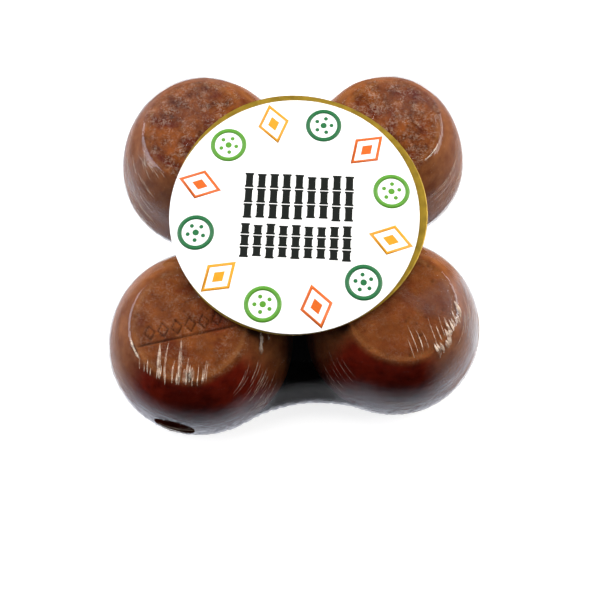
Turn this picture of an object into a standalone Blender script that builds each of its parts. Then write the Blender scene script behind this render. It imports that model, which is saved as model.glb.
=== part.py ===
"""A sealed pack of four jaggery lumps under clear shrink film, with a round card label on top.

Metres, +Z up. The origin is on the surface that the pack stands on, under the middle of the pack.
-Y is the front of the pack, +Z is the side that carries the label.
"""

import math

import bpy
import bmesh
from mathutils import Vector

# Jaggery lumps: buckets of set cane syrup, turned out with the wide end down.
LUMP_HEIGHT = 0.0475
FOOT_HEIGHT = 0.0100    # height of the widest level above the floor
FOOT_SHARE = 0.91       # radius on the floor over the widest radius
SIDE_FULLNESS = 1.47    # 1 is an elliptical side, 2 is a straight cone
# Going round the pack from the front left: centre x, centre y, widest radius, flat top's radius.
LUMPS = (
    {"x": -0.0430, "y": -0.0436, "wide": 0.0425, "top": 0.0242},
    {"x": 0.0438, "y": -0.0406, "wide": 0.0404, "top": 0.0228},
    {"x": 0.0460, "y": 0.0426, "wide": 0.0394, "top": 0.0222},
    {"x": -0.0388, "y": 0.0436, "wide": 0.0423, "top": 0.0240},
)

# Shrink film: it hugs each lump and spans the notch to the next one on a hollow curve.
# The front, right, back and left notch: radius of that curve where the lumps are widest, and at
# the top. In between it grows as the lumps draw in.
WEBS = (
    {"low": 0.066, "high": 0.046},
    {"low": 0.003, "high": 0.022},
    {"low": 0.008, "high": 0.024},
    {"low": 0.003, "high": 0.022},
)

# Label: a white disc stuck on a gold card, which is a little off centre and not quite round.
FACE_CENTRE = Vector((0.0018, 0.0015))
FACE_RADIUS = 0.0527
FACE_THICKNESS = 0.0006
FACE_BEVEL = 0.00015
BACKING_CENTRE = Vector((0.0031, 0.0028))
BACKING_RADIUS = 0.0543
BACKING_WAVER = 0.0008  # how far its three blunt corners stand proud
BACKING_TURN = math.radians(-5)
BACKING_THICKNESS = 0.0013
BACKING_BEVEL = 0.0004
GAP = 0.0003            # clearance between pieces that rest on each other

# Facets
FOOT_STEPS = 4
SIDE_STEPS = 15
LUMP_COLUMNS = 22
WEB_COLUMNS = 8
LABEL_SEGMENTS = 96
BEVEL_SEGMENTS = 2


def clear_scene():
    for obj in list(bpy.data.objects):
        bpy.data.objects.remove(obj, do_unlink=True)


def make_material(name, colour, roughness, metallic=0.0):
    material = bpy.data.materials.new(name)
    material.use_nodes = True
    shader = material.node_tree.nodes["Principled BSDF"]
    shader.inputs["Base Color"].default_value = (*colour, 1.0)
    shader.inputs["Roughness"].default_value = roughness
    shader.inputs["Metallic"].default_value = metallic
    return material


def add_object(name, mesh, material):
    mesh.materials.append(material)
    obj = bpy.data.objects.new(name, mesh)
    bpy.context.collection.objects.link(obj)
    return obj


def lump_profile(lump):
    """(radius, height) pairs from the floor, round the foot, up the side, to the flat top's rim."""
    wide, top = lump["wide"], lump["top"]
    levels = []
    for step in range(FOOT_STEPS):
        angle = step / FOOT_STEPS * math.pi / 2
        radius = wide * (FOOT_SHARE + (1 - FOOT_SHARE) * math.sin(angle))
        levels.append((radius, FOOT_HEIGHT * (1 - math.cos(angle))))
    for step in range(SIDE_STEPS + 1):
        angle = step / SIDE_STEPS * math.pi / 2
        radius = top + (wide - top) * max(math.cos(angle), 0.0) ** SIDE_FULLNESS
        rise = math.sin(angle) ** SIDE_FULLNESS
        levels.append((radius, FOOT_HEIGHT + (LUMP_HEIGHT - FOOT_HEIGHT) * rise))
    return levels


def web_centre(start, start_reach, end, end_reach):
    """Centre of the arc that touches two circles from outside, right of the way from start to end."""
    along = end - start
    distance = along.length
    along = along / distance
    foot = (start_reach**2 - end_reach**2 + distance**2) / (2 * distance)
    out = math.sqrt(start_reach**2 - foot**2)
    return start + along * foot + Vector((along.y, -along.x)) * out


def arc(centre, radius, first, last, count):
    """count points from angle first towards angle last, which is left out."""
    turn = last - first
    angles = [first + turn * i / count for i in range(count)]
    return [centre + Vector((math.cos(a), math.sin(a))) * radius for a in angles]


def turned(angle, least):
    """The same direction as angle, given as the first value not below least."""
    while angle < least:
        angle += 2 * math.pi
    return angle


def pack_ring(level, height):
    """The film's outline at one level: an arc round each lump and a hollow arc to the next one."""
    centres = [Vector((lump["x"], lump["y"])) for lump in LUMPS]
    radii = [lump_profile(lump)[level][0] for lump in LUMPS]
    drawn_in = (LUMPS[0]["wide"] - radii[0]) / (LUMPS[0]["wide"] - LUMPS[0]["top"])
    bends = [web["low"] + (web["high"] - web["low"]) * drawn_in for web in WEBS]
    hubs = []
    for i, bend in enumerate(bends):
        j = (i + 1) % len(LUMPS)
        hubs.append(web_centre(centres[i], radii[i] + bend, centres[j], radii[j] + bend))
    points = []
    for i, centre in enumerate(centres):
        j = (i + 1) % len(LUMPS)
        came = hubs[i - 1] - centre
        leaves = hubs[i] - centre
        first = math.atan2(came.y, came.x)
        last = turned(math.atan2(leaves.y, leaves.x), first)
        points += arc(centre, radii[i], first, last, LUMP_COLUMNS)
        back, on = centre - hubs[i], centres[j] - hubs[i]
        first = math.atan2(back.y, back.x)
        sweep = turned(first - math.atan2(on.y, on.x), 0.0)
        points += arc(hubs[i], bends[i], first, first - sweep, WEB_COLUMNS)
    return [(point.x, point.y, height) for point in points]


def stack_rings(name, rings, material):
    """A closed solid from level outlines, bottom first, each counter-clockwise seen from above."""
    bm = bmesh.new()
    rows = [[bm.verts.new(point) for point in ring] for ring in rings]
    for low, high in zip(rows, rows[1:]):
        for i in range(len(low)):
            j = (i + 1) % len(low)
            bm.faces.new((low[i], low[j], high[j], high[i]))
    bm.faces.new(list(reversed(rows[0])))
    bm.faces.new(rows[-1])
    bm.normal_update()
    bmesh.ops.triangulate(bm, faces=bm.faces[:])
    mesh = bpy.data.meshes.new(name)
    bm.to_mesh(mesh)
    bm.free()
    mesh.shade_smooth()
    mesh.set_sharp_from_angle(angle=math.radians(40))
    return add_object(name, mesh, material)


def make_sealed_pack(material):
    """The film's outer shape with its contents, from the floor to the flat tops."""
    rings = []
    for level, (_, height) in enumerate(lump_profile(LUMPS[0])):
        rings.append(pack_ring(level, height))
    stack_rings("sealed_pack", rings, material)


def make_card(name, centre, radius, waver, thickness, bevel, floor, material):
    """A flat card disc with softened edges, standing on the height floor."""
    bm = bmesh.new()
    outline = []
    for i in range(LABEL_SEGMENTS):
        angle = 2 * math.pi * i / LABEL_SEGMENTS
        reach = radius + waver * math.cos(3 * (angle - BACKING_TURN))
        outline.append(bm.verts.new((reach * math.cos(angle), reach * math.sin(angle), 0.0)))
    face = bm.faces.new(outline)
    body = bmesh.ops.extrude_face_region(bm, geom=[face])
    lifted = [item for item in body["geom"] if isinstance(item, bmesh.types.BMVert)]
    bmesh.ops.translate(bm, verts=lifted, vec=(0, 0, thickness))
    bmesh.ops.recalc_face_normals(bm, faces=bm.faces[:])
    mesh = bpy.data.meshes.new(name)
    bm.to_mesh(mesh)
    bm.free()
    mesh.shade_smooth()
    mesh.set_sharp_from_angle(angle=math.radians(40))
    card = add_object(name, mesh, material)
    card.location = (*centre, floor)
    edges = card.modifiers.new("edges", "BEVEL")
    edges.width = bevel
    edges.segments = BEVEL_SEGMENTS


def main():
    clear_scene()
    jaggery = make_material("jaggery_under_film", (0.22, 0.075, 0.022), 0.25)
    gold = make_material("gold_card", (0.62, 0.45, 0.07), 0.35, metallic=0.6)
    paper = make_material("white_paper", (0.93, 0.93, 0.93), 0.5)

    make_sealed_pack(jaggery)
    backing_floor = LUMP_HEIGHT + GAP
    make_card(
        "label_backing", BACKING_CENTRE, BACKING_RADIUS, BACKING_WAVER,
        BACKING_THICKNESS, BACKING_BEVEL, backing_floor, gold,
    )
    face_floor = backing_floor + BACKING_THICKNESS + GAP
    make_card(
        "label_face", FACE_CENTRE, FACE_RADIUS, 0.0,
        FACE_THICKNESS, FACE_BEVEL, face_floor, paper,
    )


main()
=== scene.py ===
import math

import bmesh
import bpy
import numpy as np
from mathutils import Matrix, Vector, noise


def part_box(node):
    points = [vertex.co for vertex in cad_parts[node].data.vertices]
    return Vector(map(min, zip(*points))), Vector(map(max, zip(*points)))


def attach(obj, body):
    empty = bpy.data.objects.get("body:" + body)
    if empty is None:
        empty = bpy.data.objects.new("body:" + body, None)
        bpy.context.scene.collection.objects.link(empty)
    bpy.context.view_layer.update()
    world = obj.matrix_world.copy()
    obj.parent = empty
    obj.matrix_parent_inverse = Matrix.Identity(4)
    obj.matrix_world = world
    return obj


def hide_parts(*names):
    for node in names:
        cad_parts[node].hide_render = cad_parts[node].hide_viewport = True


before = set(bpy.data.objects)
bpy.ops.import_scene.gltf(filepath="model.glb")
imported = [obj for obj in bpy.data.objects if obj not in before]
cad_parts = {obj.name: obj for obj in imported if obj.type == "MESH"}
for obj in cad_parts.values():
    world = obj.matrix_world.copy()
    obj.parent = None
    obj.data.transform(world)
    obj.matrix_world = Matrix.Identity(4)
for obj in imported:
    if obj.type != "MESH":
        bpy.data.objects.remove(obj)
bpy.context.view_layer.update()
packLow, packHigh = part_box("sealed_pack")
faceLow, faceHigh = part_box("label_face")
mm = 0.001


def hexColour(code):
    # sRGB hex to linear
    parts = [int(code[i:i + 2], 16) / 255 for i in (0, 2, 4)]
    return tuple(p / 12.92 if p <= 0.04045 else ((p + 0.055) / 1.055) ** 2.4 for p in parts) + (1.0,)


def addNode(tree, kind, inputs=None, **settings):
    # inputs: socket name or number -> a value, or another node's output socket to link
    node = tree.nodes.new(kind)
    for name, value in settings.items():
        setattr(node, name, value)
    for key, value in (inputs or {}).items():
        if isinstance(value, bpy.types.NodeSocket):
            tree.links.new(value, node.inputs[key])
        else:
            node.inputs[key].default_value = value
    return node


def newMaterial(name):
    material = bpy.data.materials.new(name)
    material.use_nodes = True
    material.node_tree.nodes.clear()
    return material, material.node_tree


def rampOf(tree, factor, stops):
    ramp = addNode(tree, "ShaderNodeValToRGB", {"Fac": factor})
    elements = ramp.color_ramp.elements
    while len(elements) < len(stops):
        elements.new(0.5)
    for element, (place, colour) in zip(elements, stops):
        element.position = place
        element.color = colour
    return ramp.outputs["Color"]


def greyStops(*pairs):
    return [(place, (value, value, value, 1.0)) for place, value in pairs]


def maths(tree, operation, *terms, clamp=False):
    return addNode(tree, "ShaderNodeMath", dict(enumerate(terms)), operation=operation,
                   use_clamp=clamp).outputs[0]


def vectorMaths(tree, operation, first, second):
    return addNode(tree, "ShaderNodeVectorMath", {0: first, 1: second}, operation=operation)


def fitRange(tree, value, start, end, **settings):
    # the value's range start becomes the range end
    return addNode(tree, "ShaderNodeMapRange", {
        "Value": value, "From Min": start[0], "From Max": start[1], "To Min": end[0], "To Max": end[1]},
        **settings).outputs[0]


def mixColour(tree, share, under, over):
    return addNode(tree, "ShaderNodeMix", {"Factor": share, 6: under, 7: over}, data_type="RGBA").outputs[2]


def readAttribute(tree, name, output="Fac"):
    return addNode(tree, "ShaderNodeAttribute", attribute_name=name).outputs[output]


def objectPlace(tree):
    return addNode(tree, "ShaderNodeTexCoord").outputs["Object"]


def noiseOf(tree, place, scale, detail, **more):
    # value of a noise texture; "W" picks another pattern, other names are the node's own
    inputs = {"Vector": place, "Scale": scale, "Detail": detail, **more}
    settings = {"noise_dimensions": "4D"} if "W" in more else {}
    return addNode(tree, "ShaderNodeTexNoise", inputs, **settings).outputs["Fac"]


def twoTones(tree, value, low, high, dark, light):
    return rampOf(tree, value, [(low, hexColour(dark)), (high, hexColour(light))])


def mixShaders(tree, share, under, over):
    return addNode(tree, "ShaderNodeMixShader", {0: share, 1: under.outputs[0], 2: over.outputs[0]})


def finishMaterial(tree, shader):
    addNode(tree, "ShaderNodeOutputMaterial", {"Surface": shader.outputs[0]})


def addObject(name, data):
    thing = bpy.data.objects.new(name, data)
    bpy.context.collection.objects.link(thing)
    return thing


def meshObject(name, points, faces, material, smooth=True):
    mesh = bpy.data.meshes.new(name)
    mesh.from_pydata([tuple(p) for p in points], [], faces)
    mesh.materials.append(material)
    if smooth:
        mesh.shade_smooth()
    mesh.update()
    return addObject(name, mesh)


def rework(thing, change):
    shape = bmesh.new()
    shape.from_mesh(thing.data)
    change(shape)
    shape.to_mesh(thing.data)
    shape.free()
    return thing


def gridFaces(rows, columns):
    # faces between level rows of points that close round
    faces = []
    for row in range(rows - 1):
        for i in range(columns):
            j = (i + 1) % columns
            faces.append((row * columns + i, row * columns + j, (row + 1) * columns + j, (row + 1) * columns + i))
    return faces


def capFaces(rows, columns):
    # fans from the first and the last row to the two points that follow the grid
    low, last = rows * columns, (rows - 1) * columns
    return ([(low, (i + 1) % columns, i) for i in range(columns)]
            + [(low + 1, last + i, last + (i + 1) % columns) for i in range(columns)])


def outwardOf(grid):
    # unit direction outwards at each point of a grid of level rows
    sideways = np.roll(grid, -1, axis=1) - np.roll(grid, 1, axis=1)
    out = np.cross(sideways, np.gradient(grid, axis=0)).reshape(-1, 3)
    size = np.linalg.norm(out, axis=1, keepdims=True)
    return np.where(size > 1e-14, out / np.maximum(size, 1e-14), (0.0, 0.0, 1.0))


def makeTree(name, wanted, fromShape=False):
    # empty Geometry Nodes tree with named inputs; returns it, its input sockets and their identifiers
    kinds = {"int": "NodeSocketInt", "float": "NodeSocketFloat", "bool": "NodeSocketBool",
             "material": "NodeSocketMaterial"}
    tree = bpy.data.node_groups.new(name, "GeometryNodeTree")
    tree.interface.new_socket("Geometry", in_out="OUTPUT", socket_type="NodeSocketGeometry")
    if fromShape:
        tree.interface.new_socket("Geometry", in_out="INPUT", socket_type="NodeSocketGeometry")
    names = {title: tree.interface.new_socket(title, in_out="INPUT", socket_type=kinds[kind]).identifier
             for title, kind in wanted.items()}
    return tree, addNode(tree, "NodeGroupInput").outputs, names


def finishTree(tree, geometry, material):
    solid = addNode(tree, "GeometryNodeRealizeInstances", {0: geometry})
    dressed = addNode(tree, "GeometryNodeSetMaterial", {"Geometry": solid.outputs[0], "Material": material})
    addNode(tree, "NodeGroupOutput", {0: dressed.outputs[0]})


def grow(name, tree, names, values, place, shape=None):
    # run the tree on an empty mesh or the given shape and keep the plain result, moved by place
    seed = addObject(name + "_seed", shape or bpy.data.meshes.new(name + "_seed"))
    nodes = seed.modifiers.new("grow", "NODES")
    nodes.node_group = tree
    for title, value in values.items():
        nodes[names[title]] = value
    ready = seed.evaluated_get(bpy.context.evaluated_depsgraph_get())
    mesh = bpy.data.meshes.new_from_object(ready)
    mesh.transform(place)
    mesh.name = name
    bpy.data.objects.remove(seed)
    return addObject(name, mesh)


def smoothStep(low, high, value):
    share = np.clip((value - low) / (high - low), 0.0, 1.0)
    return share * share * (3 - 2 * share)


def noiseAt(points, size, seed, octaves=1):
    # smooth noise of about -1 to 1 at each point; size is the spacing of its bumps in metres
    shift = Vector((seed * 7.31, seed * 3.17, seed * 5.93))
    values = np.empty(len(points))
    for i, p in enumerate(points):
        q = Vector(p) / size + shift
        values[i] = noise.noise(q) if octaves == 1 else noise.fractal(q, 0.8, 2.0, octaves)
    return values


packShape = {
    "height": 47.5 * mm,
    "footHeight": 10.0 * mm,
    "footShare": 0.91,      # radius on the floor over the widest radius
    "sideFullness": 1.47,
    # from the front left, counter-clockwise: centre, widest radius, flat top's radius
    "lumps": [
        {"name": "front_left", "x": -43.0 * mm, "y": -43.6 * mm, "wide": 42.5 * mm, "top": 24.2 * mm},
        {"name": "front_right", "x": 43.8 * mm, "y": -40.6 * mm, "wide": 40.4 * mm, "top": 22.8 * mm},
        {"name": "back_right", "x": 46.0 * mm, "y": 42.6 * mm, "wide": 39.4 * mm, "top": 22.2 * mm},
        {"name": "back_left", "x": -38.8 * mm, "y": 43.6 * mm, "wide": 42.3 * mm, "top": 24.0 * mm},
    ],
}


def rimDrop(radius, top):
    # the rim of the flat top is rounded off: how far it drops at this radius
    inward = smoothStep(0.74, 1.0, radius / top)
    outward = smoothStep(1.35, 1.0, radius / top)
    return 0.70 * mm * np.where(radius < top, inward ** 1.5, outward)


def sideProfile(wide, top, footSteps, sideSteps):
    # radius and height pairs from the floor to the rim of the flat top
    levels = []
    for step in range(footSteps):
        angle = step / footSteps * math.pi / 2
        share = packShape["footShare"]
        levels.append((wide * (share + (1 - share) * math.sin(angle)),
                       packShape["footHeight"] * (1 - math.cos(angle))))
    for step in range(sideSteps + 1):
        angle = step / sideSteps * math.pi / 2
        bend = packShape["sideFullness"]
        radius = top + (wide - top) * max(math.cos(angle), 0.0) ** bend
        rise = math.sin(angle) ** bend
        levels.append((radius, packShape["footHeight"] + (packShape["height"] - packShape["footHeight"]) * rise))
    return levels


cameraPlace = {
    "spot": (2.05 * mm, -114.4 * mm, 332.8 * mm),
    "aim": (2.63 * mm, -29.9 * mm, 23.8 * mm),
    "roll": -2.13,          # degrees
    "lens": 43.23,
    "sensor": 36.0,
}
lightPlan = {
    "worldColour": "C9CCD2",
    "worldStrength": 0.04,
    # name: place, size in metres, power in watts, colour, whether it shows in gloss
    "lamps": {
        "backBox": ((0.05, 0.95, 0.72), (1.5, 0.55), 7.0, "FFFDF8", False),
        "highFill": ((0.0, 0.55, 1.05), (0.9, 0.6), 6.5, "FFFDF8", False),
        "leftBox": ((-0.80, 0.22, 0.48), (0.80, 0.65), 9.5, "F8FAFF", True),
        "rightBox": ((0.80, 0.20, 0.48), (0.80, 0.65), 10.5, "FFFCF6", True),
    },
    "aim": (0.0, 0.0, 0.03),
}


def makeCamera():
    plan = cameraPlace
    data = bpy.data.cameras.new("pack_camera")
    data.lens, data.sensor_width = plan["lens"], plan["sensor"]
    data.clip_start, data.clip_end = 0.01, 20.0
    camera = addObject("pack_camera", data)
    spot = Vector(plan["spot"])
    turn = (Vector(plan["aim"]) - spot).to_track_quat("-Z", "Y").to_matrix().to_4x4()
    camera.matrix_world = Matrix.Translation(spot) @ turn @ Matrix.Rotation(math.radians(plan["roll"]), 4, "Z")
    bpy.context.scene.camera = camera


def makeSheet(name, half, height, material):
    corners = [(-half, -half, height), (half, -half, height), (half, half, height), (-half, half, height)]
    return meshObject(name, corners, [(0, 1, 2, 3)], material)


def makeFloor():
    # opal acrylic sheet lit softly from below, so that hardly any shadow lies on it
    material, tree = newMaterial("floor_opal_acrylic")
    grain = noiseOf(tree, objectPlace(tree), 3.0, 2.0)
    finishMaterial(tree, addNode(tree, "ShaderNodeBsdfPrincipled", {
        "Base Color": twoTones(tree, grain, 0.3, 0.7, "B2B2B4", "B6B6B8"), "Roughness": 0.6,
        "Emission Color": hexColour("FFFFFF"), "Emission Strength": 0.80}))
    floor = makeSheet("floor", 6.0, -0.2 * mm, material)
    floor.visible_diffuse = False       # the floor shows in the film but throws no light back up


def makeDarkSurround():
    # black velvet laid round the set: it is seen only in the film's reflections, and fades in outwards
    material, tree = newMaterial("black_velvet_surround")
    place = objectPlace(tree)
    squared = vectorMaths(tree, "MULTIPLY", place, place).outputs[0]
    away = vectorMaths(tree, "DOT_PRODUCT", squared, squared).outputs["Value"]
    away = maths(tree, "POWER", away, 0.25)     # a rounded square
    share = fitRange(tree, away, (0.096, 0.138), (0.0, 1.0), interpolation_type="SMOOTHSTEP")
    black = addNode(tree, "ShaderNodeBsdfDiffuse", {"Color": hexColour("060606")})
    clear = addNode(tree, "ShaderNodeBsdfTransparent")
    finishMaterial(tree, mixShaders(tree, share, clear, black))
    velvet = makeSheet("dark_surround", 4.0, -0.1 * mm, material)
    velvet.visible_camera = velvet.visible_diffuse = velvet.visible_shadow = velvet.visible_transmission = False


def makeLights():
    plan = lightPlan
    world = bpy.data.worlds.new("studio")
    world.use_nodes = True
    world.node_tree.nodes["Background"].inputs["Color"].default_value = hexColour(plan["worldColour"])
    world.node_tree.nodes["Background"].inputs["Strength"].default_value = plan["worldStrength"]
    bpy.context.scene.world = world
    for name, (place, size, power, colour, inGloss) in plan["lamps"].items():
        data = bpy.data.lights.new(name, "AREA")
        data.shape = "RECTANGLE"
        data.size, data.size_y = size
        data.energy = power
        data.color = hexColour(colour)[:3]
        lamp = addObject(name, data)
        lamp.visible_glossy = inGloss
        lamp.location = place
        lamp.rotation_mode = "QUATERNION"
        lamp.rotation_quaternion = (Vector(plan["aim"]) - Vector(place)).to_track_quat("-Z", "Y")


lumpLook = {
    "skin": 0.75 * mm,          # how far the lump lies inside the film
    "floorGap": 0.4 * mm,       # how far it stands above the floor
    "columns": 320,
    "footRows": 8,
    "sideRows": 44,
    "crownRows": 40,
    "unevenness": 0.35 * mm,    # broad dents
    "ripple": 0.10 * mm,        # dents a few millimetres wide
    "grain": 0.10 * mm,         # crystals on the air-set top
    "pits": 26,
    "frost": (0.40, 0.20, 1.0, 0.9),    # how crystalline each top is
    # where the front-facing side is darkened as painted shade: middle angle and half angle, for each lump; else
    # it is tan
    "syrup": ((-88, 76), (-108, 57), None, None),
    "crownLight": "8A4B22",
    "crownDark": "4A210F",
    "crownCalm": "74401F",      # the smoothest top is nearly this even colour
    "crownRed": "561A10",
    "rim": "AD7645",
    "rimShare": 0.28,
    "fleck": "C6AE9A",
    "fleckShare": 0.40,
    "side": "925A34",
    "sideDark": "734021",
    # painted shade: dark maroon for the front-facing side
    "syrupLight": "721C0D",
    "syrupDark": "4E0F07",
    # painted shade in the pits, the pressed mark and the vent hole
    "recessShadeColour": "1A0805",
}


def makeJaggeryMaterial():
    # Jaggery: boiled cane juice set in a bucket mould. The open top dries rough and light with sugar
    # crystals; the moulded side stays dense and a little see-through like toffee, tan, with painted shade
    # darkening its front-facing part to maroon.
    look = lumpLook
    material, tree = newMaterial("jaggery_moulded_cane_sugar")
    place = objectPlace(tree)
    crown, frost, recessShade, syrup, lip = [
        readAttribute(tree, name) for name in ("crown", "frost", "recessShade", "syrup", "lip")]

    # clouds 9 mm across, crystal clusters 4 mm across made of crystals about 1 mm across
    clouds = noiseOf(tree, place, 150.0, 5.0, Roughness=0.66)
    redClouds = noiseOf(tree, place, 85.0, 3.0, W=3.0, Distortion=0.6)
    clusters = noiseOf(tree, place, 190.0, 3.0, W=8.0, Roughness=0.6)
    crystals = noiseOf(tree, place, 950.0, 3.0, Roughness=0.75, Distortion=0.8)

    base = twoTones(tree, clouds, 0.36, 0.64, look["crownDark"], look["crownLight"])
    calm = fitRange(tree, frost, (0.2, 0.9), (0.65, 0.0))
    base = mixColour(tree, calm, base, hexColour(look["crownCalm"]))
    redShare = rampOf(tree, redClouds, greyStops((0.50, 0.0), (0.66, 0.80)))
    redShare = maths(tree, "MULTIPLY", redShare, fitRange(tree, frost, (0.0, 0.6), (0.15, 1.0)))
    base = mixColour(tree, redShare, base, hexColour(look["crownRed"]))
    clustered = rampOf(tree, clusters, greyStops((0.42, 0.10), (0.60, 1.0)))
    sparkle = rampOf(tree, crystals, greyStops((0.47, 0.0), (0.60, 1.0)))
    flecks = maths(tree, "MULTIPLY", maths(tree, "MULTIPLY", clustered, sparkle), frost)
    flecks = maths(tree, "MULTIPLY", flecks, look["fleckShare"])
    top = mixColour(tree, flecks, base, hexColour(look["fleck"]))

    tan = twoTones(tree, clouds, 0.34, 0.66, look["sideDark"], look["side"])
    frontShaded = twoTones(tree, clouds, 0.34, 0.66, look["syrupDark"], look["syrupLight"])
    # painted shade: the front-facing side takes the dark maroon
    colour = mixColour(tree, crown, mixColour(tree, syrup, tan, frontShaded), top)
    colour = mixColour(tree, maths(tree, "MULTIPLY", lip, look["rimShare"]), colour, hexColour(look["rim"]))
    # painted shade: the pits, the pressed mark and the vent hole are darkened
    colour = mixColour(tree, recessShade, colour, hexColour(look["recessShadeColour"]))

    relief = maths(tree, "MULTIPLY_ADD", maths(tree, "MULTIPLY", sparkle, crown), 0.6, clouds)
    bump = addNode(tree, "ShaderNodeBump", {"Strength": 0.5, "Distance": 0.30 * mm, "Height": relief})
    finishMaterial(tree, addNode(tree, "ShaderNodeBsdfPrincipled", {
        "Base Color": colour, "Roughness": fitRange(tree, crown, (0.0, 1.0), (0.30, 0.50)), "IOR": 1.5,
        "Normal": bump.outputs[0], "Specular IOR Level": 0.0, "Subsurface Weight": 0.3,
        "Subsurface Scale": 2.5 * mm, "Subsurface Radius": (1.0, 0.35, 0.15)}))
    return material


def pressedMark(x, y):
    # plain mark pressed into one top: a slanted groove with a row of lozenges above it, in metres
    start, end = np.array((-64.9, -52.9)) * mm, np.array((-23.1, -45.7)) * mm
    along = (end - start) / np.linalg.norm(end - start)
    across = np.array((-along[1], along[0]))
    u = (x - start[0]) * along[0] + (y - start[1]) * along[1]
    v = (x - start[0]) * across[0] + (y - start[1]) * across[1]
    length = np.linalg.norm(end - start)
    groove = np.exp(-(v / (0.42 * mm)) ** 2) * smoothStep(0, 2 * mm, u) * smoothStep(0, 2 * mm, length - u)
    mark = groove
    pitch = 5.6 * mm
    for i in range(6):
        du = np.abs(u - (6.5 * mm + i * pitch))
        dv = np.abs(v - (4.6 * mm))
        edge = np.abs(du / (2.1 * mm) + dv / (2.9 * mm) - 1.0)
        mark = np.maximum(mark, np.exp(-(edge / 0.17) ** 2) * (du < 3 * mm))
    return mark


def makeLump(index, material):
    look, lump = lumpLook, packShape["lumps"][index]
    wide, top = lump["wide"] - look["skin"], lump["top"] - 0.3 * look["skin"]
    profile = sideProfile(wide, top, look["footRows"], look["sideRows"])
    scaleUp = (packShape["height"] - look["skin"] - look["floorGap"]) / packShape["height"]
    rings = [(wide * packShape["footShare"] * s, 0.0, 0.0) for s in (0.25, 0.5, 0.75, 0.93)]
    rings += [(r, z, 0.0) for r, z in profile]
    for row in range(1, look["crownRows"]):
        rings.append((top * (1 - row / look["crownRows"]), packShape["height"], 1.0))
    columns = look["columns"]
    angles = np.arange(columns) * 2 * math.pi / columns

    # the rim isn't a true circle, and it wavers most towards the top
    rng = np.random.default_rng(40 + index)
    lobes = sum(rng.uniform(0.1, 0.5) * mm / k * np.cos(k * (angles - rng.uniform(0, 6.28))) for k in range(2, 9))
    points = []
    for radius, height, onTop in rings:
        share = min(radius / top, 1.0) if onTop else 1.0
        waver = lobes * (0.35 + 0.65 * smoothStep(0.4, 1.0, height / packShape["height"])) * share
        reach = radius + waver * min(radius / (5 * mm), 1.0)
        points.append(np.stack([lump["x"] + reach * np.cos(angles), lump["y"] + reach * np.sin(angles),
                                np.full(columns, look["floorGap"] + height * scaleUp)], axis=1))
    points = np.concatenate(points)
    plan = np.hypot(points[:, 0] - lump["x"], points[:, 1] - lump["y"])
    rise = points[:, 2] / packShape["height"]
    around = np.arctan2(points[:, 1] - lump["y"], points[:, 0] - lump["x"])
    spread = noiseAt(np.column_stack([np.cos(around), np.sin(around), around * 0]), 0.45, 90 + index)
    crownShare = smoothStep(1.13 + 0.04 * spread, 1.00 + 0.03 * spread, plan / top) * smoothStep(0.80, 0.93, rise)
    lip = np.exp(-((plan / top - 0.96) / 0.05) ** 2) * (rise > 0.9) * (0.5 + 0.5 * np.clip(spread + 0.3, 0, 1))
    points[:, 2] -= rimDrop(plan, top)

    out = outwardOf(points.reshape(len(rings), columns, 3))
    push = look["unevenness"] * noiseAt(points, 13 * mm, 3 + index)
    push += look["ripple"] * noiseAt(points, 3.2 * mm, 11 + index)
    push += look["grain"] * noiseAt(points, 1.1 * mm, 23 + index, 3) * crownShare
    # painted shade: the pits, the pressed mark and the vent hole are darkened through this share
    recessShading = np.zeros(len(points))
    for _ in range(look["pits"]):
        reach, angle = top * math.sqrt(rng.uniform(0, 1)), rng.uniform(0, 2 * math.pi)
        centre = (lump["x"] + reach * math.cos(angle), lump["y"] + reach * math.sin(angle))
        size = rng.uniform(0.3, 0.75) * mm
        near = np.exp(-((points[:, 0] - centre[0]) ** 2 + (points[:, 1] - centre[1]) ** 2) / size ** 2)
        near = near * (rise > 0.8)
        push -= near * size * 0.5
        recessShading = np.maximum(recessShading, near * rng.uniform(0.1, 0.6))
    if lump["name"] == "front_left":
        mark = pressedMark(points[:, 0], points[:, 1]) * crownShare
        push -= mark * 0.55 * mm
        recessShading = np.maximum(recessShading, mark * 0.62)
        # painted shade: the jaggery inside the vent hole is darkened
        vent = filmLook
        across = (around - math.radians(vent["ventAngle"])) * lump["wide"] / (vent["ventSize"][0] + 1 * mm)
        upward = (points[:, 2] - vent["ventHeight"]) / (vent["ventSize"][1] + 1 * mm)
        recessShading = np.maximum(recessShading, 0.72 * (across ** 2 + upward ** 2 < 1) * (plan > 0.8 * lump["wide"]))
    push *= smoothStep(0.0, 0.06, rise)
    points = points + out * push[:, None]

    floorCentre = (lump["x"], lump["y"], look["floorGap"])
    topCentre = (lump["x"], lump["y"], float(points[-columns:, 2].mean()))
    points = np.vstack([points, floorCentre, topCentre])
    faces = gridFaces(len(rings), columns) + capFaces(len(rings), columns)
    thing = meshObject("jaggery_" + lump["name"], points, faces, material)
    frost = np.full(len(crownShare), look["frost"][index])
    # painted shade: the side facing the front is darkened
    syrup = np.zeros(len(crownShare))
    if look["syrup"][index]:
        middle, half = look["syrup"][index]
        off = np.abs((np.degrees(around) - middle + 180) % 360 - 180) / half
        syrup = smoothStep(1.0, 0.55, off + 0.10 * spread)
    for name, values, ends in (("crown", crownShare, (0.0, 1.0)), ("recessShade", recessShading, (0.0, 0.0)),
                               ("syrup", syrup, (0.0, 0.0)),
                               ("frost", frost, (0.0, look["frost"][index])), ("lip", lip, (0.0, 0.0))):
        layer = thing.data.attributes.new(name, "FLOAT", "POINT")
        layer.data.foreach_set("value", np.append(values, ends))
    return thing


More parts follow.
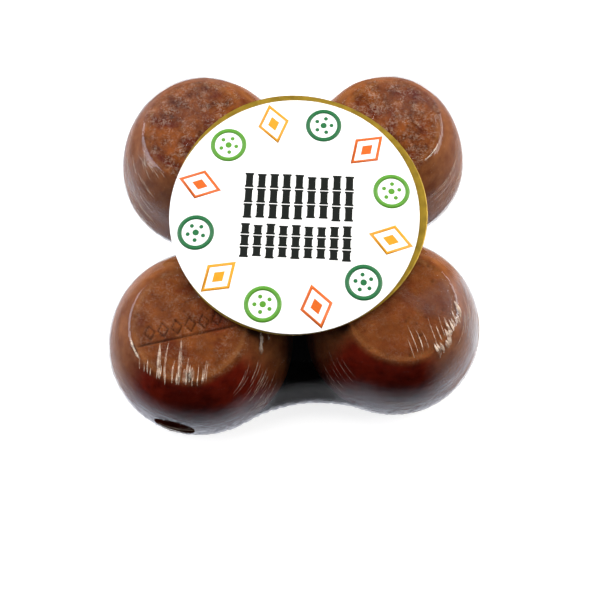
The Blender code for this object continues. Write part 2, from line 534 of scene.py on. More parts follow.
filmLook = {
    "inset": 0.25 * mm,         # inside the pack's outer shape
    "rootHeight": 0.1 * mm,
    # going round from the front left lump: columns on each lump and on the web after it
    "lumpColumns": (300, 260, 160, 190),
    "webColumns": (80, 16, 14, 16),
    "runColumn": 120,           # column along which the way up the side is measured
    "footRows": 9,
    "sideRows": 48,
    "crownRows": 13,
    # rows inside the underside's and the top's outline, as shares of it
    "underShares": (0.10, 0.30, 0.50, 0.70, 0.86, 0.96),
    "overShares": (0.8, 0.6, 0.4, 0.2),
    # hollow radius of the front, right, back and left web: low down, and at the top
    "webLow": (66 * mm, 3 * mm, 8 * mm, 3 * mm),
    "webHigh": (46 * mm, 22 * mm, 24 * mm, 22 * mm),
    "slack": 0.12 * mm,         # broad waviness
    "gathers": 0.45 * mm,       # pleats round the foot
    # Pull lines over the rim, seen from above. Each family: lump number, line that they start on (angle
    # and share of the widest radius at both ends), direction in degrees, shortest and longest reach in
    # millimetres, count, half width in millimetres, how white they are.
    "rimPullsAndGlints": [
        (0, (-142, 0.62), (-74, 0.61), 82, 3, 6, 15, 0.36, 0.75),
        (0, (-122, 0.60), (-98, 0.60), 86, 12, 19, 3, 0.90, 0.42),
        (0, (-108, 0.58), (-72, 0.58), 82, 6, 11, 7, 0.50, 0.50),
        (0, (-96, 0.58), (-84, 0.58), 88, 4, 7, 4, 1.10, 0.26),
        # painted highlight: short wide white blobs near the label on the front left rim
        (0, (-25, 0.74), (-12, 0.74), 93, 3, 5, 5, 1.10, 0.80),
        (1, (-84, 0.52), (-30, 0.56), 106, 7, 13, 8, 0.28, 0.55),
        # painted highlight: the bright white cluster on the front right rim
        (1, (-58, 0.62), (-8, 0.60), 114, 3, 7, 14, 1.00, 1.00),
        (1, (-70, 0.90), (-34, 0.92), 132, 5, 10, 14, 0.20, 0.45),
        (3, (-150, 0.66), (-122, 0.64), 124, 6, 13, 6, 0.34, 0.40),
        (2, (4, 0.55), (34, 0.58), 50, 2, 4, 7, 0.28, 0.55),
    ],
    # Pull lines that run round a lump's side: lump number, angles between which they lie, lowest and
    # highest level, count, rise along the line, half width (millimetres), how white they are.
    "wrapPullsAndGlints": [
        (0, -62, -26, 14, 42, 17, 4.0, 0.26, 0.42),
        # painted highlight: white folds along the front left lump's left rim stand in for its rim highlight
        (0, -172, -140, 46.6, 47.2, 6, -0.1, 0.65, 0.60),
        (0, -175, -125, 9, 30, 8, -1.0, 0.18, 0.35),
        (0, -130, -70, 5, 20, 8, 1.0, 0.16, 0.40),
        (1, -156, -118, 14, 36, 8, -5.0, 0.22, 0.30),
        (1, -112, -50, 5, 24, 12, -1.5, 0.18, 0.35),
        (1, -40, 22, 9, 44, 26, 3.0, 0.20, 0.38),
        (3, -176, -122, 12, 45, 14, -6.0, 0.42, 0.34),
        # painted highlight: white folds along the back right lump's rim stand in for its rim highlight
        (2, -62, -18, 46.5, 47.1, 5, 0.2, 0.34, 0.95),
        (2, -70, 20, 8, 34, 10, 2.0, 0.20, 0.30),
        (2, 40, 150, 8, 38, 9, 2.0, 0.20, 0.25),
        (3, 40, 160, 8, 38, 9, 2.0, 0.20, 0.25),
    ],
    # Whiter places on the lumps' film: lump number, middle and half angle, lowest and highest level in
    # millimetres, how much whiter
    "milkier": [
        (3, -136, 36, 22, 46, 0.60), (1, -38, 38, 22, 46, 0.90), (1, 4, 34, 14, 52, 0.95),
        (0, -112, 44, 12, 34, 0.45),
        (2, -20, 60, 26, 46, 0.25), (0, 180, 60, 20, 50, 0.25), (3, 110, 70, 36, 56, 0.60),
        (2, 60, 60, 36, 56, 0.60), (3, 180, 50, 20, 50, 0.25), (0, -90, 46, 4, 30, 0.65),
        (1, -92, 42, 8, 34, 0.50), (3, -145, 45, -5, 26, -0.50), (0, -156, 34, -5, 28, -0.35),
        (1, -22, 38, -5, 24, -0.35), (2, -30, 60, -5, 26, -0.45),
    ],
    "ventAngle": -106.5,        # hole in the front left film
    "ventHeight": 16.5 * mm,
    "ventSize": (9.4 * mm, 6.6 * mm),
    "ventBead": 0.28 * mm,
    # shares of mirror and haze: face on, what low angles add, and how late they set in
    "mirrorBase": 0.030,
    "mirrorEdge": 0.20,
    "mirrorPower": 7.0,
    "hazeBase": 0.08,
    "hazeEdge": 0.85,
    "hazePower": 3.0,
}


def webHub(start, startReach, end, endReach):
    # centre of the arc that touches two circles from outside, right of the way from start to end
    along = end - start
    distance = np.linalg.norm(along)
    along = along / distance
    foot = (startReach ** 2 - endReach ** 2 + distance ** 2) / (2 * distance)
    out = math.sqrt(startReach ** 2 - foot ** 2)
    return start + along * foot + np.array((along[1], -along[0])) * out


def filmOutline(radii, bends):
    look = filmLook
    centres = [np.array((lump["x"], lump["y"])) for lump in packShape["lumps"]]
    hubs = [webHub(centres[i], radii[i] + bends[i], centres[(i + 1) % 4], radii[(i + 1) % 4] + bends[i])
            for i in range(4)]
    points = []
    for i in range(4):
        came, leaves = hubs[i - 1] - centres[i], hubs[i] - centres[i]
        first = math.atan2(came[1], came[0])
        last = math.atan2(leaves[1], leaves[0])
        while last < first:
            last += 2 * math.pi
        angles = first + (last - first) * np.arange(look["lumpColumns"][i]) / look["lumpColumns"][i]
        points.append(centres[i] + radii[i] * np.stack([np.cos(angles), np.sin(angles)], axis=1))
        back, on = centres[i] - hubs[i], centres[(i + 1) % 4] - hubs[i]
        first = math.atan2(back[1], back[0])
        sweep = (first - math.atan2(on[1], on[0])) % (2 * math.pi)
        angles = first - sweep * np.arange(look["webColumns"][i]) / look["webColumns"][i]
        points.append(hubs[i] + bends[i] * np.stack([np.cos(angles), np.sin(angles)], axis=1))
    return np.concatenate(points)


def filmRows():
    # level outlines from the middle of the underside, up the side, to the middle of the top
    look, lumps = filmLook, packShape["lumps"]
    profiles = [sideProfile(lump["wide"] - look["inset"], lump["top"], look["footRows"], look["sideRows"])
                for lump in lumps]
    widest = profiles[0][look["footRows"]][0]
    scaleUp = (packShape["height"] - 3 * look["rootHeight"]) / packShape["height"]
    rows = []
    for level in range(len(profiles[0])):
        radii = [p[level][0] for p in profiles]
        height = look["rootHeight"] + profiles[0][level][1] * scaleUp
        drawnIn = (widest - radii[0]) / (widest - lumps[0]["top"])
        bends = [low + (high - low) * drawnIn for low, high in zip(look["webLow"], look["webHigh"])]
        outline = filmOutline(radii, bends)
        rows.append(np.column_stack([outline, np.full(len(outline), height)]))
    for row in range(1, look["crownRows"]):
        share = 1 - 0.72 * row / look["crownRows"]
        radii = [lump["top"] * share for lump in lumps]
        bends = [high + lumps[0]["top"] * (1 - share) for high in look["webHigh"]]
        outline = filmOutline(radii, bends)
        rows.append(np.column_stack([outline, np.full(len(outline), rows[-1][0, 2])]))
    under = [rows[0] * (share, share, 1.0) for share in look["underShares"]]
    over = [rows[-1] * (share, share, 1.0) for share in look["overShares"]]
    return np.stack(under + rows + over)


def filmProfile(lump):
    # radius and height of the film's side, from the foot to the rim of the flat top
    look = filmLook
    scaleUp = (packShape["height"] - 3 * look["rootHeight"]) / packShape["height"]
    pairs = sideProfile(lump["wide"] - look["inset"], lump["top"], look["footRows"], look["sideRows"])
    pairs = np.array(pairs)[look["footRows"]:]
    heights = look["rootHeight"] + pairs[:, 1] * scaleUp
    return pairs[:, 0], heights - rimDrop(pairs[:, 0], lump["top"])


def foldAndGlintPaths():
    # points of every pull line, its half width at each point, and how white it is
    rng = np.random.default_rng(7)
    paths = []
    steps = np.linspace(0, 1, 15)
    for number, start, end, lean, least, most, count, width, white in filmLook["rimPullsAndGlints"]:
        lump = packShape["lumps"][number]
        radii, heights = filmProfile(lump)
        topHeight = heights[-1] + rimDrop(lump["top"], lump["top"])
        for i in range(count):
            share = (i + rng.uniform(0.05, 0.95)) / count
            angle = math.radians(start[0] + (end[0] - start[0]) * share)
            reach = lump["wide"] * (start[1] + (end[1] - start[1]) * share + rng.uniform(-0.03, 0.03))
            turn = math.radians(lean + rng.uniform(-3, 3))
            length = rng.uniform(least, most) * mm
            bow = rng.uniform(-0.05, 0.05) * length
            along, across = steps * length, bow * (4 * steps * (1 - steps))
            x = lump["x"] + reach * math.cos(angle) + along * math.cos(turn) - across * math.sin(turn)
            y = lump["y"] + reach * math.sin(angle) + along * math.sin(turn) + across * math.cos(turn)
            away = np.hypot(x - lump["x"], y - lump["y"])
            z = np.where(away < lump["top"], topHeight - rimDrop(away, lump["top"]),
                         np.interp(away, radii[::-1], heights[::-1]))
            half = width * mm * rng.uniform(0.5, 1.2) * np.sin(math.pi * steps ** 0.7) ** 0.8
            paths.append((np.column_stack([x, y, z]), half, white * rng.uniform(0.5, 1.0)))
    for number, first, last, low, high, count, climb, width, white in filmLook["wrapPullsAndGlints"]:
        lump = packShape["lumps"][number]
        radii, heights = filmProfile(lump)
        for i in range(count):
            level = (low + (high - low) * (i + rng.uniform(0.1, 0.9)) / count) * mm
            middle, span = rng.uniform(-0.45, 0.45), rng.uniform(0.25, 0.75)
            share = np.clip(middle + span * (2 * steps - 1), -1, 1)
            angle = np.radians((first + last) / 2 + share * (last - first) / 2)
            z = level + climb * mm * share * rng.uniform(0.8, 1.2) + rng.uniform(-0.8, 0.8) * mm * share ** 2
            z = np.clip(z, heights[0], heights[-1] - 0.2 * mm)
            reach = np.interp(z, heights, radii)
            half = width * mm * rng.uniform(0.6, 1.4) * np.sin(math.pi * steps) ** 0.8
            x, y = lump["x"] + reach * np.cos(angle), lump["y"] + reach * np.sin(angle)
            paths.append((np.column_stack([x, y, z]), half, white * rng.uniform(0.5, 1.0)))
    return paths


def makeFoldMaterial():
    # Creased shrink film: where the film is pulled into folds it whitens and glints, and each fold
    # fades out towards its sides. The whitish colour is partly that whitening and partly a painted highlight.
    material, tree = newMaterial("shrink_film_creased_painted_glints")
    white = readAttribute(tree, "white")
    broken = fitRange(tree, noiseOf(tree, objectPlace(tree), 420.0, 2.0), (0.38, 0.60), (0.25, 1.0))
    facing = addNode(tree, "ShaderNodeLayerWeight", {"Blend": 0.5}).outputs["Facing"]
    soft = fitRange(tree, facing, (0.0, 0.60), (1.0, 0.0), interpolation_type="SMOOTHSTEP")
    share = maths(tree, "MULTIPLY", maths(tree, "MULTIPLY", broken, white), soft, clamp=True)
    clear = addNode(tree, "ShaderNodeBsdfTransparent")
    crease = addNode(tree, "ShaderNodeBsdfPrincipled", {
        "Base Color": hexColour("E9D2BE"), "Roughness": 0.25, "IOR": 1.5})
    finishMaterial(tree, mixShaders(tree, share, clear, crease))
    return material


def makeFolds():
    # every pull line becomes a fine tapered fold lying on the film; its tilt carries how white it is, which is
    # partly painted highlight
    curve = bpy.data.curves.new("film_pull_lines_and_glints", "CURVE")
    curve.dimensions = "3D"
    for points, half, white in foldAndGlintPaths():
        spline = curve.splines.new("POLY")
        spline.points.add(len(points) - 1)
        for i, (p, radius) in enumerate(zip(points, half)):
            spline.points[i].co = (p[0], p[1], p[2], 1.0)
            spline.points[i].radius = max(radius / mm, 0.02)
            spline.points[i].tilt = white
    tree, get, names = makeTree("film_folds", {"Half Width": "float", "Sides": "int", "Film": "material"}, True)
    profile = addNode(tree, "GeometryNodeCurvePrimitiveCircle", {
        "Resolution": get["Sides"], "Radius": get["Half Width"]}).outputs[0]
    marked = addNode(tree, "GeometryNodeStoreNamedAttribute", {
        "Geometry": get["Geometry"], "Name": "white",
        "Value": addNode(tree, "GeometryNodeInputCurveTilt").outputs[0]},
        data_type="FLOAT", domain="POINT").outputs[0]
    tubes = addNode(tree, "GeometryNodeCurveToMesh", {
        "Curve": marked, "Profile Curve": profile, "Scale": addNode(tree, "GeometryNodeInputRadius").outputs[0],
        "Fill Caps": True})
    smooth = addNode(tree, "GeometryNodeSetShadeSmooth", {"Geometry": tubes.outputs[0]})
    finishTree(tree, smooth.outputs[0], get["Film"])
    folds = grow("film_folds", tree, names, {"Half Width": 1.0 * mm, "Sides": 10, "Film": makeFoldMaterial()},
                 Matrix.Identity(4), curve)
    for corner in folds.data.vertices:      # none stands out past the pack's widest places
        corner.co = [min(max(value, low), high) for value, low, high in zip(corner.co, packLow, packHigh)]
    return folds


def makeFilmMaterial():
    # Shrink film: clear heat-shrunk polyolefin 0.03 mm thick. Clear from above, mirror-like at low
    # angles, and milky in fine streaks where it is bunched round the foot.
    look = filmLook
    material, tree = newMaterial("shrink_film_clear_polyolefin")
    place = objectPlace(tree)
    run, milk = readAttribute(tree, "run", "Vector"), readAttribute(tree, "milk")
    # tension streaks 1 mm apart and 15 mm long round the pack, crumples 2 mm wide, slack 9 mm wide
    stretched = vectorMaths(tree, "MULTIPLY", run, (0.07, 1.0, 1.0)).outputs[0]
    streaks = noiseOf(tree, stretched, 1.0, 3.0, Roughness=0.6)
    crumples = noiseOf(tree, place, 480.0, 3.0, Roughness=0.6, Distortion=0.5)
    slack = noiseOf(tree, place, 110.0, 2.0, Roughness=0.5)
    relief = maths(tree, "MULTIPLY_ADD", slack, 3.0, streaks)
    relief = maths(tree, "MULTIPLY_ADD", maths(tree, "MULTIPLY", crumples, milk), 3.0, relief)
    bump = addNode(tree, "ShaderNodeBump", {"Strength": 0.7, "Distance": 0.07 * mm, "Height": relief}).outputs[0]
    facing = addNode(tree, "ShaderNodeLayerWeight", {"Blend": 0.5, "Normal": bump}).outputs["Facing"]
    edge = maths(tree, "POWER", facing, look["mirrorPower"])
    mirror = maths(tree, "MULTIPLY_ADD", edge, look["mirrorEdge"], look["mirrorBase"])

    # whitening of bunched film, seen most at low angles
    slant = maths(tree, "POWER", facing, look["hazePower"])
    slant = maths(tree, "MULTIPLY_ADD", slant, look["hazeEdge"], look["hazeBase"])
    patchy = fitRange(tree, streaks, (0.3, 0.7), (0.55, 1.35))
    haze = maths(tree, "MULTIPLY", maths(tree, "MULTIPLY", milk, slant), patchy, clamp=True)

    clear = addNode(tree, "ShaderNodeBsdfTransparent", {"Color": (0.98, 0.98, 0.985, 1.0)})
    milky = addNode(tree, "ShaderNodeBsdfPrincipled", {
        "Base Color": hexColour("C2C5D3"), "Metallic": 0.7, "Roughness": 0.45, "Normal": bump})
    gloss = addNode(tree, "ShaderNodeBsdfPrincipled", {
        "Base Color": hexColour("F4F5FA"), "Metallic": 1.0, "Roughness": 0.09, "Normal": bump})
    finishMaterial(tree, mixShaders(tree, mirror, mixShaders(tree, haze, clear, milky), gloss))
    return material


def milkiness(points):
    # how bunched and whitened the film is at each point, 0 to 1 or a little over
    x, y, z = points.T
    level = z / mm
    reaches = np.stack([np.hypot(x - lump["x"], y - lump["y"]) / lump["wide"] for lump in packShape["lumps"]])
    onWeb = smoothStep(0.99, 1.08, reaches.min(axis=0))
    milk = smoothStep(35, 9, level) * (1 - onWeb) + 2.6 * smoothStep(17, 7, level) * onWeb
    for number, middle, half, low, high, extra in filmLook["milkier"]:
        lump = packShape["lumps"][number]
        away = np.degrees(np.arctan2(y - lump["y"], x - lump["x"])) - middle
        away = np.abs((away + 180) % 360 - 180) / half
        milk += (extra * smoothStep(1.0, 0.4, away) * smoothStep(low - 4, low + 4, level)
                 * smoothStep(high + 4, high - 8, level) * (reaches[number] < 1.03))
    return milk * (level > 0.3)


def makeFilm(material):
    look = filmLook
    grid = filmRows()
    rows, columns = grid.shape[:2]
    points = grid.reshape(-1, 3)
    out = outwardOf(grid)
    for lump in packShape["lumps"]:
        plan = np.hypot(points[:, 0] - lump["x"], points[:, 1] - lump["y"])
        points[:, 2] -= rimDrop(plan, lump["top"]) * (points[:, 2] > 25 * mm)
    push = look["slack"] * noiseAt(points, 16 * mm, 61)
    # gathers: pleats across the foot, 2 to 3 mm apart going round
    plan = np.column_stack([points[:, 0], points[:, 1], points[:, 2] * 0.25])
    foot = smoothStep(22 * mm, 10 * mm, points[:, 2]) * smoothStep(0.2 * mm, 2 * mm, points[:, 2])
    push += look["gathers"] * noiseAt(plan, 1.5 * mm, 71, 2) * foot
    shown = smoothStep(0.15 * mm, 3 * mm, points[:, 2])
    push = np.clip(push * shown, -0.45 * mm, look["inset"] - 0.03 * mm)
    points = points + out * push[:, None]
    points[:, :2] = np.clip(points[:, :2], packLow[:2], packHigh[:2])
    points[:, 2] = np.clip(points[:, 2], look["rootHeight"], packHigh[2])

    # vent hole: faces inside an ellipse go, and the edge left is drawn onto the ellipse
    lump = packShape["lumps"][0]
    angle = np.arctan2(points[:, 1] - lump["y"], points[:, 0] - lump["x"])
    reach = np.hypot(points[:, 0] - lump["x"], points[:, 1] - lump["y"])
    a = (angle - math.radians(look["ventAngle"])) * reach / look["ventSize"][0]
    b = (points[:, 2] - look["ventHeight"]) / look["ventSize"][1]
    rho = np.hypot(a, b)
    rho[reach < 0.8 * lump["wide"]] = 9.0
    rho[reach > 1.2 * lump["wide"]] = 9.0
    faceArray = np.array(gridFaces(rows, columns))
    inside = rho[faceArray].mean(axis=1) < 1.0
    keepFaces = faceArray[~inside]
    edgePoints = np.intersect1d(np.unique(faceArray[inside]), np.unique(keepFaces))
    for i in edgePoints:
        stretch = 1.0 / rho[i]
        newAngle = math.radians(look["ventAngle"]) + a[i] * stretch * look["ventSize"][0] / reach[i]
        points[i, 0] = lump["x"] + reach[i] * math.cos(newAngle)
        points[i, 1] = lump["y"] + reach[i] * math.sin(newAngle)
        points[i, 2] = look["ventHeight"] + b[i] * stretch * look["ventSize"][1]
    order = np.argsort(np.arctan2(b[edgePoints], a[edgePoints]))
    rim = points[edgePoints][order]

    points = np.vstack([points, (0.0, 0.0, points[0, 2]), (0.0, 0.0, points[-1, 2])])
    faces = [tuple(int(v) for v in face) for face in keepFaces] + capFaces(rows, columns)
    film = meshObject("shrink_film", points, faces, material)
    layer = film.data.attributes.new("milk", "FLOAT", "POINT")
    layer.data.foreach_set("value", milkiness(points))
    # millimetres run round the pack and up its side, for streaks that follow the film
    widest = grid[len(look["underShares"]) + look["footRows"]]
    aroundMm = np.cumsum(np.linalg.norm(widest - np.roll(widest, 1, axis=0), axis=1)) / mm
    sidePath = grid[:, look["runColumn"]]
    upMm = np.cumsum(np.append(0, np.linalg.norm(np.diff(sidePath, axis=0), axis=1))) / mm
    run = np.stack(np.broadcast_arrays(aroundMm[None, :], upMm[:, None], 0.0), axis=-1).reshape(-1, 3)
    layer = film.data.attributes.new("run", "FLOAT_VECTOR", "POINT")
    layer.data.foreach_set("vector", np.vstack([run, run[:1], run[-1:]]).ravel())
    rework(film, lambda shape: bmesh.ops.delete(
        shape, geom=[corner for corner in shape.verts if not corner.link_faces], context="VERTS"))
    return film, rim


def makeVentBead(rim, material):
    # the film melts back into a thin bead round the hole
    around = 8
    points = []
    count = len(rim)
    for i in range(count):
        ahead = rim[(i + 1) % count] - rim[i - 1]
        ahead /= np.linalg.norm(ahead)
        side = np.cross(ahead, (0.0, 0.0, 1.0))
        side /= max(np.linalg.norm(side), 1e-9)
        up = np.cross(side, ahead)
        for k in range(around):
            turn = 2 * math.pi * k / around
            points.append(rim[i] + filmLook["ventBead"] * (side * math.cos(turn) + up * math.sin(turn)))
    bead = meshObject("vent_hole_bead", points, gridFaces(count, around) + [
        ((count - 1) * around + k, (count - 1) * around + (k + 1) % around, (k + 1) % around, k)
        for k in range(around)], material)
    return rework(bead, lambda shape: bmesh.ops.recalc_face_normals(shape, faces=shape.faces[:]))


darkCard = {
    "halfWidth": 46.0 * mm,
    "front": -71.5 * mm,
    "back": 58.0 * mm,
    "thickness": 0.15 * mm,
    "floor": 0.18 * mm,
    "corner": 12.0 * mm,
    "cornerSteps": 12,
    "lipFoot": 0.5 * mm,        # the turned-up front edge starts here and ends at lipHeight
    "lipHeight": 10.5 * mm,
    "lipInset": 0.7 * mm,
    "lipOverlap": 14,           # film columns that it runs on along each lump
    "lipReach": 9.0 * mm,       # how far its foot runs back over the flat card
}


def makeDarkCard():
    # painted shade: a black card inside the pack darkens the deep gap between the lumps; matt, with faint fibre
    # mottling
    material, tree = newMaterial("gap_shade_black_card")
    fibre = noiseOf(tree, objectPlace(tree), 900.0, 3.0)
    finishMaterial(tree, addNode(tree, "ShaderNodeBsdfPrincipled", {
        "Base Color": twoTones(tree, fibre, 0.3, 0.7, "050405", "0A090A"), "Roughness": 0.9,
        "Specular IOR Level": 0.0}))
    plan = darkCard
    outline = []
    corners = ((plan["halfWidth"], plan["front"], -90), (plan["halfWidth"], plan["back"], 0),
               (-plan["halfWidth"], plan["back"], 90), (-plan["halfWidth"], plan["front"], 180))
    for x, y, first in corners:
        cx = x - math.copysign(plan["corner"], x)
        cy = y - math.copysign(plan["corner"], y)
        for step in range(plan["cornerSteps"] + 1):
            turn = math.radians(first + step * 90 / plan["cornerSteps"])
            outline.append((cx + plan["corner"] * math.cos(turn), cy + plan["corner"] * math.sin(turn)))
    count = len(outline)
    points = [(x, y, plan["floor"]) for x, y in outline]
    points += [(x, y, plan["floor"] + plan["thickness"]) for x, y in outline]
    faces = [tuple(reversed(range(count))), tuple(range(count, 2 * count))]
    faces += [(i, (i + 1) % count, count + (i + 1) % count, count + i) for i in range(count)]

    # its front edge is turned up along the front web, a little inside the film, so the painted shade reaches up
    # the web
    first = filmLook["lumpColumns"][0] - plan["lipOverlap"]
    web = slice(first, first + filmLook["webColumns"][0] + 2 * plan["lipOverlap"])
    rows = [row[web] for row in filmRows()[len(filmLook["underShares"]):]
            if plan["lipFoot"] < row[0, 2] < plan["lipHeight"]]
    rows.insert(0, [(x, y + plan["lipReach"], z) for x, y, z in rows[0]])
    across = len(rows[0])
    start = len(points)
    for lift in (0.0, plan["thickness"]):
        points += [(x, y + plan["lipInset"] + lift, z + lift) for row in rows for x, y, z in row]
    for side, base in enumerate((start, start + len(rows) * across)):
        for r in range(len(rows) - 1):
            for i in range(across - 1):
                quad = [base + r * across + i, base + r * across + i + 1,
                        base + (r + 1) * across + i + 1, base + (r + 1) * across + i]
                faces.append(tuple(quad if side == 0 else reversed(quad)))
    back = len(rows) * across
    top = (len(rows) - 1) * across
    for i in range(across - 1):
        faces.append((start + top + i, start + top + i + 1, start + back + top + i + 1, start + back + top + i))
        faces.append((start + i + 1, start + i, start + back + i, start + back + i + 1))
    for r in range(len(rows) - 1):
        for i, flip in ((0, False), (across - 1, True)):
            quad = (start + (r + 1) * across + i, start + back + (r + 1) * across + i,
                    start + back + r * across + i, start + r * across + i)
            faces.append(tuple(reversed(quad)) if flip else quad)
    return meshObject("gap_shade_card", points, faces, material, smooth=False)


def makePaperMaterial():
    # Coated label paper: smooth bright white with a faint satin sheen
    material, tree = newMaterial("label_paper_coated_white")
    fibre = noiseOf(tree, objectPlace(tree), 1500.0, 2.0)
    bump = addNode(tree, "ShaderNodeBump", {"Strength": 0.2, "Distance": 0.01 * mm, "Height": fibre})
    finishMaterial(tree, addNode(tree, "ShaderNodeBsdfPrincipled", {
        "Base Color": twoTones(tree, fibre, 0.3, 0.7, "FAFAFA", "FEFEFE"), "Roughness": 0.55,
        "Normal": bump.outputs[0]}))
    return material


def makeGoldMaterial():
    # Gold-foil board: foil pressed on card, brushed looking, warm yellow with olive shades at the edge
    material, tree = newMaterial("gold_foil_board")
    sheen = noiseOf(tree, objectPlace(tree), 260.0, 3.0)
    bump = addNode(tree, "ShaderNodeBump", {"Strength": 0.2, "Distance": 0.02 * mm, "Height": sheen})
    finishMaterial(tree, addNode(tree, "ShaderNodeBsdfPrincipled", {
        "Base Color": twoTones(tree, sheen, 0.3, 0.7, "8F7420", "B2922C"), "Metallic": 0.5,
        "Roughness": 0.42, "Normal": bump.outputs[0]}))
    return material


def makeInk(name, code):
    # Printing ink: flat colour with a faint mottle where the paper takes it unevenly
    material, tree = newMaterial(name)
    colour = hexColour(code)
    darker = tuple(part * 0.9 for part in colour[:3]) + (1.0,)
    shade = rampOf(tree, noiseOf(tree, objectPlace(tree), 500.0, 2.0), [(0.3, darker), (0.7, colour)])
    finishMaterial(tree, addNode(tree, "ShaderNodeBsdfPrincipled", {"Base Color": shade, "Roughness": 0.5}))
    return material


labelPrint = {
    "inkHeight": 0.02 * mm,
    "turn": -5.0,               # degrees, the whole print sits a little clockwise
    "ringRadius": 42.2 * mm,
    "motifs": 12,
    "motifSize": 13.6 * mm,
    "stroke": 1.9 * mm,
    # ink: hex colour, first place on the ring, 1 for a cane cut across or 0 for a lozenge
    "inks": {
        "lime": ("56982A", 0, 1),
        "orange": ("D8620F", 1, 0),
        "forest": ("1A6B3B", 2, 1),
        "amber": ("E89C16", 3, 0),
    },
    "caneColour": "0B110D",
    # each row of stalks: middle of the row sideways and up, height of the stalks, stalks across
    "caneRows": ((1.6 * mm, 6.8 * mm, 20.5 * mm, 9), (1.2 * mm, -13.4 * mm, 15.5 * mm, 9)),
    "caneWidth": 48.0 * mm,
    "caneGap": 1.5 * mm,
    "nodeGap": 0.35 * mm,
    "nodeBand": 0.9 * mm,
}


def repeatOn(tree, points, instance, **settings):
    return addNode(tree, "GeometryNodeInstanceOnPoints", {
        "Points": points, "Instance": instance, **settings}).outputs[0]


def vectorOf(tree, **parts):
    return addNode(tree, "ShaderNodeCombineXYZ", parts).outputs[0]


def join(tree, *parts):
    joined = addNode(tree, "GeometryNodeJoinGeometry")
    for part in parts:
        tree.links.new(part, joined.inputs[0])
    return joined.outputs[0]


def shifted(tree, geometry, **settings):
    return addNode(tree, "GeometryNodeTransform", {"Geometry": geometry, **settings}).outputs[0]


def makeMotifTree():
    # motifs set evenly on a ring: a cane cut across (ring, core and five strands) or a lozenge in a lozenge
    tree, get, names = makeTree("print_motifs", {
        "Motifs": "int", "Ring Radius": "float", "First Angle": "float", "Size": "float", "Stroke": "float",
        "Ink Height": "float", "Round": "bool", "Ink": "material"})
    profile = addNode(tree, "GeometryNodeCurvePrimitiveQuadrilateral",
                      {"Width": get["Stroke"], "Height": get["Ink Height"]}).outputs[0]
    half = maths(tree, "MULTIPLY", get["Size"], 0.5)

    def ring(share, points):
        curve = addNode(tree, "GeometryNodeCurvePrimitiveCircle", {
            "Resolution": points, "Radius": maths(tree, "MULTIPLY", half, share)}).outputs[0]
        return addNode(tree, "GeometryNodeCurveToMesh", {"Curve": curve, "Profile Curve": profile}).outputs[0]

    def disc(share, points):
        return addNode(tree, "GeometryNodeMeshCylinder", {
            "Vertices": points, "Radius": maths(tree, "MULTIPLY", half, share),
            "Depth": get["Ink Height"]}).outputs["Mesh"]

    strands = addNode(tree, "GeometryNodeMeshCircle", {
        "Vertices": 5, "Radius": maths(tree, "MULTIPLY", half, 0.50)}).outputs[0]
    cut = join(tree, ring(1.0, 64), disc(0.20, 24), repeatOn(tree, strands, disc(0.13, 16)))
    lozenge = shifted(tree, join(tree, ring(1.12, 4), disc(0.46, 4)), Scale=(1.12, 0.80, 1.0))
    motif = addNode(tree, "GeometryNodeSwitch", {
        "Switch": get["Round"], "False": lozenge, "True": cut}, input_type="GEOMETRY").outputs[0]

    spots = addNode(tree, "GeometryNodeMeshCircle", {
        "Vertices": get["Motifs"], "Radius": get["Ring Radius"]}).outputs[0]
    spun = shifted(tree, spots, Rotation=vectorOf(tree, Z=get["First Angle"]))
    outward = addNode(tree, "FunctionNodeAlignRotationToVector",
                      {"Vector": addNode(tree, "GeometryNodeInputPosition").outputs[0]}, axis="X").outputs[0]
    finishTree(tree, repeatOn(tree, spun, motif, Rotation=outward), get["Ink"])
    return tree, names


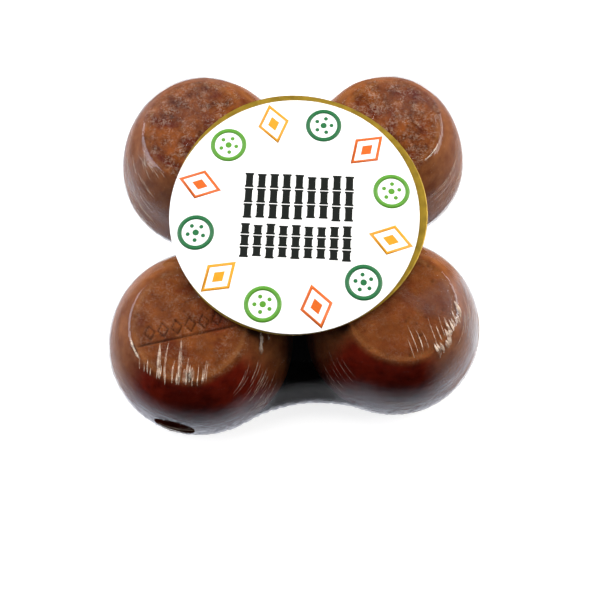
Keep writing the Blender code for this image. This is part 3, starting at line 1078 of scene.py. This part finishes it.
def makeStalkTree():
    # a row of upright cane stalks, each of three joints with swollen ends and a narrow gap at the nodes
    tree, get, names = makeTree("print_stalks", {
        "Stalks": "int", "Row Width": "float", "Stalk Height": "float", "Gap": "float", "Node Gap": "float",
        "Node Band": "float", "Ink Height": "float", "Seed": "int", "Ink": "material"})
    pitch = maths(tree, "DIVIDE", get["Row Width"], get["Stalks"])
    width = maths(tree, "SUBTRACT", pitch, get["Gap"])
    firstStalk = maths(tree, "MULTIPLY", maths(tree, "SUBTRACT", pitch, get["Row Width"]), 0.5)
    row = addNode(tree, "GeometryNodeMeshLine", {
        "Count": get["Stalks"], "Start Location": vectorOf(tree, X=firstStalk),
        "Offset": vectorOf(tree, X=pitch)}).outputs[0]
    joint = maths(tree, "DIVIDE", get["Stalk Height"], 3.0)
    jointLength = maths(tree, "SUBTRACT", joint, get["Node Gap"])

    def plate(wide, tall, inkHeight):
        block = addNode(tree, "GeometryNodeCurvePrimitiveQuadrilateral", {
            "Width": wide, "Height": tall}).outputs[0]
        rounded = addNode(tree, "GeometryNodeFilletCurve", {
            "Curve": block, "Count": 5, "Radius": 0.35 * mm}, mode="POLY").outputs[0]
        flat = addNode(tree, "GeometryNodeFillCurve", {"Curve": rounded}, mode="NGONS").outputs[0]
        return addNode(tree, "GeometryNodeExtrudeMesh", {
            "Mesh": flat, "Offset Scale": inkHeight, "Individual": False}, mode="FACES").outputs[0]

    stemHeight = maths(tree, "MULTIPLY", get["Ink Height"], 0.9)
    stem = plate(maths(tree, "MULTIPLY", width, 0.80), jointLength, stemHeight)
    band = plate(width, get["Node Band"], get["Ink Height"])
    apart = maths(tree, "SUBTRACT", jointLength, get["Node Band"])
    bands = [shifted(tree, band, Translation=vectorOf(tree, Y=maths(tree, "MULTIPLY", apart, side)))
             for side in (0.5, -0.5)]
    column = addNode(tree, "GeometryNodeMeshLine", {
        "Count": 3, "Start Location": vectorOf(tree, Y=maths(tree, "MULTIPLY", joint, -1.0)),
        "Offset": vectorOf(tree, Y=joint)}).outputs[0]
    stalk = repeatOn(tree, column, join(tree, stem, *bands))
    tall = addNode(tree, "FunctionNodeRandomValue", {2: 0.90, 3: 1.04, "Seed": get["Seed"]}, data_type="FLOAT")
    stretch = vectorOf(tree, X=1.0, Y=tall.outputs[1], Z=1.0)
    finishTree(tree, repeatOn(tree, row, stalk, Scale=stretch), get["Ink"])
    return tree, names


def makePrint():
    plan = labelPrint
    centre = Vector(((faceLow[0] + faceHigh[0]) / 2, (faceLow[1] + faceHigh[1]) / 2,
                     faceHigh[2] + plan["inkHeight"] / 2))
    place = Matrix.Translation(centre) @ Matrix.Rotation(math.radians(plan["turn"]), 4, "Z")
    pieces = []
    tree, names = makeMotifTree()
    for ink, (code, first, isRound) in plan["inks"].items():
        pieces.append(grow("print_" + ink, tree, names, {
            "Motifs": plan["motifs"] // 4, "Ring Radius": plan["ringRadius"],
            "First Angle": math.radians(15 + first * 360 / plan["motifs"]), "Size": plan["motifSize"],
            "Stroke": plan["stroke"], "Ink Height": plan["inkHeight"], "Round": bool(isRound),
            "Ink": makeInk("printing_ink_" + ink, code)}, place))
    tree, names = makeStalkTree()
    dark = makeInk("printing_ink_cane", plan["caneColour"])
    for number, (sideways, up, tall, stalks) in enumerate(plan["caneRows"]):
        pieces.append(grow("print_cane_row_" + str(number + 1), tree, names, {
            "Stalks": stalks, "Row Width": plan["caneWidth"], "Stalk Height": tall, "Gap": plan["caneGap"],
            "Node Gap": plan["nodeGap"], "Node Band": plan["nodeBand"], "Ink Height": plan["inkHeight"],
            "Seed": 3 + number, "Ink": dark},
            place @ Matrix.Translation((sideways, up, -plan["inkHeight"] / 2))))
    return pieces


print("set: camera, floor and light")
makeCamera()
makeFloor()
makeDarkSurround()
makeLights()
bpy.context.scene.view_settings.view_transform = "Standard"

print("jaggery lumps")
jaggery = makeJaggeryMaterial()
lumps = [makeLump(index, jaggery) for index in range(4)]

print("film, vent hole and dark card")
filmMaterial = makeFilmMaterial()
film, ventRim = makeFilm(filmMaterial)
bead = makeVentBead(ventRim, filmMaterial)
folds = makeFolds()
card = makeDarkCard()

print("label")
bpy.data.objects["label_face"].material_slots[0].material = makePaperMaterial()
bpy.data.objects["label_backing"].material_slots[0].material = makeGoldMaterial()
printed = makePrint()

for piece in [film, bead, folds, card] + lumps:
    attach(piece, "root")
    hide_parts("sealed_pack")
for piece in printed:
    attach(piece, "root")
